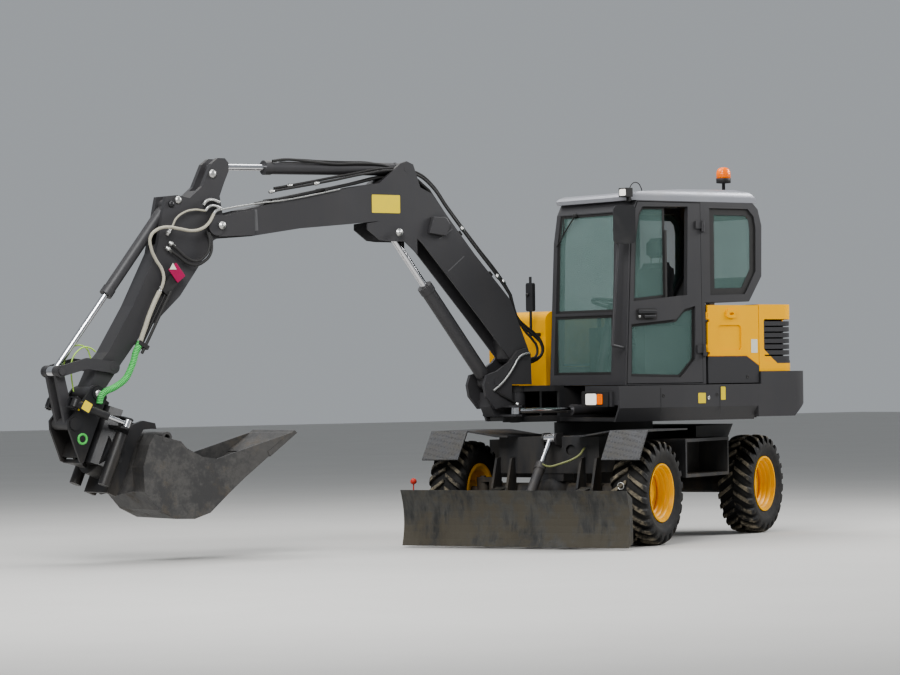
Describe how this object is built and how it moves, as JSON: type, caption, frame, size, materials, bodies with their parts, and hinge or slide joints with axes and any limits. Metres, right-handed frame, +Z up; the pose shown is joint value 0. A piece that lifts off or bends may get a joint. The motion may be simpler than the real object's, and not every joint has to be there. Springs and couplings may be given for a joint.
{
  "type": "wheeled excavator",
  "caption": "Compact wheeled excavator with a swing boom, dozer blade, and a bucket on a tilting and turning coupler.",
  "frame": {"origin": "middle of the machine's box, on the ground", "axes": "+X forwards along the boom, +Y to the left of the cab, +Z up"},
  "size_m": [6.9388, 3.1613, 3.008],
  "materials": {
    "painted_charcoal": "satin",
    "painted_black": "satin",
    "painted_yellow": "satin",
    "roof_grey": "satin",
    "rubber": "matte",
    "hose_rubber": "matte",
    "chrome": "polished",
    "worn_steel": "worn",
    "glass": "clear",
    "black_plastic": "matte",
    "lamp_orange": "glossy",
    "seat_fabric": "woven"
  },
  "bodies": {
    "chassis": {"chassis_frame": "painted_black", "front_axle": "painted_black", "rear_axle": "painted_black", "front_fenders": "painted_charcoal", "side_steps": "painted_black"},
    "knuckle_left": {"knuckle_left": "painted_black"},
    "knuckle_right": {"knuckle_right": "painted_black"},
    "wheel_front_left": {"tyre_front_left": "rubber", "rim_front_left": "painted_yellow"},
    "wheel_front_right": {"tyre_front_right": "rubber", "rim_front_right": "painted_yellow"},
    "wheel_rear_left": {"tyre_rear_left": "rubber", "rim_rear_left": "painted_yellow"},
    "wheel_rear_right": {"tyre_rear_right": "rubber", "rim_rear_right": "painted_yellow"},
    "blade": {"dozer_blade": "worn_steel"},
    "blade_barrel": {"blade_barrel": "painted_black"},
    "blade_rod": {"blade_rod": "chrome"},
    "upper": {"revolving_frame": "painted_black", "side_skirts": "painted_charcoal", "counterweight": "painted_charcoal", "engine_block": "worn_steel", "right_cover": "painted_yellow", "cab_frame": "painted_charcoal", "cab_roof": "roof_grey", "cab_glass": "glass", "seat": "seat_fabric", "cab_controls": "black_plastic", "mirrors": "black_plastic", "handrails": "painted_black", "lamps": "lamp_orange"},
    "engine_hood": {"engine_hood": "painted_yellow"},
    "service_door": {"service_door": "painted_yellow"},
    "cab_door": {"door_frame": "painted_charcoal", "door_glass": "glass"},
    "swing_post": {"swing_post": "painted_charcoal"},
    "swing_barrel": {"swing_barrel": "painted_charcoal"},
    "swing_rod": {"swing_rod": "chrome"},
    "boom": {"boom": "painted_charcoal", "boom_hoses": "hose_rubber"},
    "boom_barrel": {"boom_barrel": "painted_charcoal"},
    "boom_rod": {"boom_rod": "chrome"},
    "arm_barrel": {"arm_barrel": "painted_charcoal"},
    "arm_rod": {"arm_rod": "chrome"},
    "arm": {"arm": "painted_charcoal", "arm_hoses": "hose_rubber"},
    "bucket_barrel": {"bucket_barrel": "painted_charcoal"},
    "bucket_rod": {"bucket_rod": "chrome"},
    "link_arms": {"link_arms": "painted_charcoal"},
    "bucket_link": {"bucket_link": "painted_charcoal"},
    "tilt_bracket": {"tilt_bracket": "painted_black"},
    "rotor_housing": {"rotor_housing": "painted_black"},
    "tilt_left_barrel": {"tilt_barrel_left": "painted_charcoal"},
    "tilt_left_rod": {"tilt_rod_left": "chrome"},
    "tilt_right_barrel": {"tilt_barrel_right": "painted_charcoal"},
    "tilt_right_rod": {"tilt_rod_right": "chrome"},
    "tool": {"coupler": "painted_black", "bucket": "worn_steel"}
  },
  "joints": [
    {"name": "slew", "type": "hinge", "parent": "chassis", "child": "upper", "pos_m": [-1.6366, -0.0444, 0.95], "axis": [0, 0, 1], "continuous": true},
    {"name": "steering", "type": "hinge", "parent": "chassis", "child": "knuckle_left", "pos_m": [-1.10945, 0.93623, 0.408], "axis": [0, 0, 1], "range_deg": [-30, 30]},
    {"name": "steering_right", "type": "hinge", "parent": "chassis", "child": "knuckle_right", "pos_m": [-0.53532, -0.20779, 0.408], "axis": [0, 0, 1], "range_deg": [-30, 30]},
    {"name": "wheel_front_left_spin", "type": "hinge", "parent": "knuckle_left", "child": "wheel_front_left", "pos_m": [-1.17762, 1.07208, 0.408], "axis": [-0.4485, 0.8938, 0], "continuous": true},
    {"name": "wheel_front_right_spin", "type": "hinge", "parent": "knuckle_right", "child": "wheel_front_right", "pos_m": [-0.46714, -0.34364, 0.408], "axis": [-0.4485, 0.8938, 0], "continuous": true},
    {"name": "wheel_rear_left_spin", "type": "hinge", "parent": "chassis", "child": "wheel_rear_left", "pos_m": [-3.05453, 0.13015, 0.408], "axis": [-0.4485, 0.8938, 0], "continuous": true},
    {"name": "wheel_rear_right_spin", "type": "hinge", "parent": "chassis", "child": "wheel_rear_right", "pos_m": [-2.34404, -1.28557, 0.408], "axis": [-0.4485, 0.8938, 0], "continuous": true},
    {"name": "blade_lift", "type": "hinge", "parent": "chassis", "child": "blade", "pos_m": [-0.65346, 0.44899, 0.4], "axis": [0.4485, -0.8938, 0], "range_deg": [-18, 40]},
    {"name": "blade_hinge", "type": "hinge", "parent": "blade", "child": "blade_barrel", "pos_m": [-0.2871, 0.6888, 0.324], "axis": [0.4485, -0.8938, 0], "range_deg": [-19.8, 8.91]},
    {"name": "blade_slide", "type": "slide", "parent": "blade_barrel", "child": "blade_rod", "axis": [-0.585, -0.2936, 0.756], "range_m": [-0.22, 0.099]},
    {"name": "boom_swing", "type": "hinge", "parent": "upper", "child": "swing_post", "pos_m": [-0.7366, -0.0444, 1.1], "axis": [0, 0, 1], "range_deg": [-50, 80]},
    {"name": "swing_hinge", "type": "hinge", "parent": "upper", "child": "swing_barrel", "pos_m": [-1.7866, 0.2756, 1.054], "axis": [0, 0, 1], "range_deg": [-3, 4.8]},
    {"name": "swing_slide", "type": "slide", "parent": "swing_barrel", "child": "swing_rod", "axis": [0.9986, -0.052, 0], "range_m": [-0.344, 0.215]},
    {"name": "boom_lift", "type": "hinge", "parent": "swing_post", "child": "boom", "pos_m": [-0.7446, -0.0444, 1.487], "axis": [0, 1, 0], "range_deg": [-42, 54]},
    {"name": "boom_hinge", "type": "hinge", "parent": "swing_post", "child": "boom_barrel", "pos_m": [-0.4706, -0.0444, 1.283], "axis": [0, 1, 0], "range_deg": [-43.68, 56.16]},
    {"name": "boom_slide", "type": "slide", "parent": "boom_barrel", "child": "boom_rod", "axis": [0.6201, 0, 0.7845], "range_m": [-0.2781, 0.2163]},
    {"name": "arm_curl", "type": "hinge", "parent": "boom", "child": "arm", "pos_m": [2.0994, -0.0444, 2.475], "axis": [0, -1, 0], "range_deg": [-64, 50]},
    {"name": "arm_hinge", "type": "hinge", "parent": "boom", "child": "arm_barrel", "pos_m": [0.3474, -0.0444, 2.95], "axis": [0, -1, 0], "range_deg": [-0.93, 0.73]},
    {"name": "arm_slide", "type": "slide", "parent": "arm_barrel", "child": "arm_rod", "axis": [0.9999, 0, -0.0156], "range_m": [-0.33, 0.4224]},
    {"name": "bucket_curl", "type": "hinge", "parent": "arm", "child": "tilt_bracket", "pos_m": [3.1454, -0.0444, 1.241], "axis": [0, 1, 0], "range_deg": [-140, 0]},
    {"name": "bucket_hinge", "type": "hinge", "parent": "arm", "child": "bucket_barrel", "pos_m": [2.4704, -0.0444, 2.626], "axis": [0, 1, 0], "range_deg": [0, 1.4]},
    {"name": "bucket_slide", "type": "slide", "parent": "bucket_barrel", "child": "bucket_rod", "axis": [0.6161, 0, -0.7877], "range_m": [-0.6608, 0]},
    {"name": "link_arms_hinge", "type": "hinge", "parent": "arm", "child": "link_arms", "pos_m": [2.9914, -0.0444, 1.43], "axis": [0, 1, 0], "range_deg": [-100.8, 0]},
    {"name": "bucket_link_hinge", "type": "hinge", "parent": "tilt_bracket", "child": "bucket_link", "pos_m": [3.3374, -0.0444, 1.022], "axis": [0, 1, 0], "range_deg": [0, 89.6]},
    {"name": "tilt", "type": "hinge", "parent": "tilt_bracket", "child": "rotor_housing", "pos_m": [3.171, -0.0444, 0.86078], "axis": [0.3907, 0, -0.9205], "range_deg": [-30, 30]},
    {"name": "rotate", "type": "hinge", "parent": "rotor_housing", "child": "tool", "pos_m": [2.9823, -0.0444, 0.78068], "axis": [-0.9205, 0, -0.3907], "continuous": true},
    {"name": "tilt_left_hinge", "type": "hinge", "parent": "tilt_bracket", "child": "tilt_left_barrel", "pos_m": [3.35394, 0.1416, 1.172], "axis": [0.3907, 0, -0.9205], "range_deg": [-13.2, 13.2]},
    {"name": "tilt_left_slide", "type": "slide", "parent": "tilt_left_barrel", "child": "tilt_left_rod", "axis": [-0.8841, 0.2786, -0.3753], "range_m": [-0.087, 0.087]},
    {"name": "tilt_right_hinge", "type": "hinge", "parent": "tilt_bracket", "child": "tilt_right_barrel", "pos_m": [3.35394, -0.2304, 1.172], "axis": [0.3907, 0, -0.9205], "range_deg": [-13.2, 13.2]},
    {"name": "tilt_right_slide", "type": "slide", "parent": "tilt_right_barrel", "child": "tilt_right_rod", "axis": [-0.8841, -0.2786, -0.3753], "range_m": [-0.087, 0.087]},
    {"name": "cab_door", "type": "hinge", "parent": "upper", "child": "cab_door", "pos_m": [-1.9486, 0.8706, 1.3], "axis": [0, 0, 1], "range_deg": [0, 165]},
    {"name": "service_door", "type": "hinge", "parent": "upper", "child": "service_door", "pos_m": [-1.9926, 0.8446, 1.3], "axis": [0, 0, 1], "range_deg": [-100, 0]},
    {"name": "engine_hood", "type": "hinge", "parent": "upper", "child": "engine_hood", "pos_m": [-2.5666, -0.0444, 1.902], "axis": [0, 1, 0], "range_deg": [0, 55]}
  ],
  "couplings": [
    {"joint": "steering_right", "follows": "steering", "ratio": 1},
    {"joint": "blade_hinge", "follows": "blade_lift", "ratio": -0.495},
    {"joint": "blade_slide", "follows": "blade_lift", "m_per_rad": -0.31513},
    {"joint": "swing_hinge", "follows": "boom_swing", "ratio": 0.06},
    {"joint": "swing_slide", "follows": "boom_swing", "m_per_rad": -0.24637},
    {"joint": "boom_hinge", "follows": "boom_lift", "ratio": 1.04},
    {"joint": "boom_slide", "follows": "boom_lift", "m_per_rad": -0.29507},
    {"joint": "arm_hinge", "follows": "arm_curl", "ratio": 0.0145},
    {"joint": "arm_slide", "follows": "arm_curl", "m_per_rad": -0.37815},
    {"joint": "bucket_hinge", "follows": "bucket_curl", "ratio": -0.01},
    {"joint": "bucket_slide", "follows": "bucket_curl", "m_per_rad": 0.27044},
    {"joint": "link_arms_hinge", "follows": "bucket_curl", "ratio": 0.72},
    {"joint": "bucket_link_hinge", "follows": "bucket_curl", "ratio": -0.64},
    {"joint": "tilt_left_hinge", "follows": "tilt", "ratio": 0.44},
    {"joint": "tilt_left_slide", "follows": "tilt", "m_per_rad": -0.16616},
    {"joint": "tilt_right_hinge", "follows": "tilt", "ratio": 0.44},
    {"joint": "tilt_right_slide", "follows": "tilt", "m_per_rad": 0.16616}
  ]
}
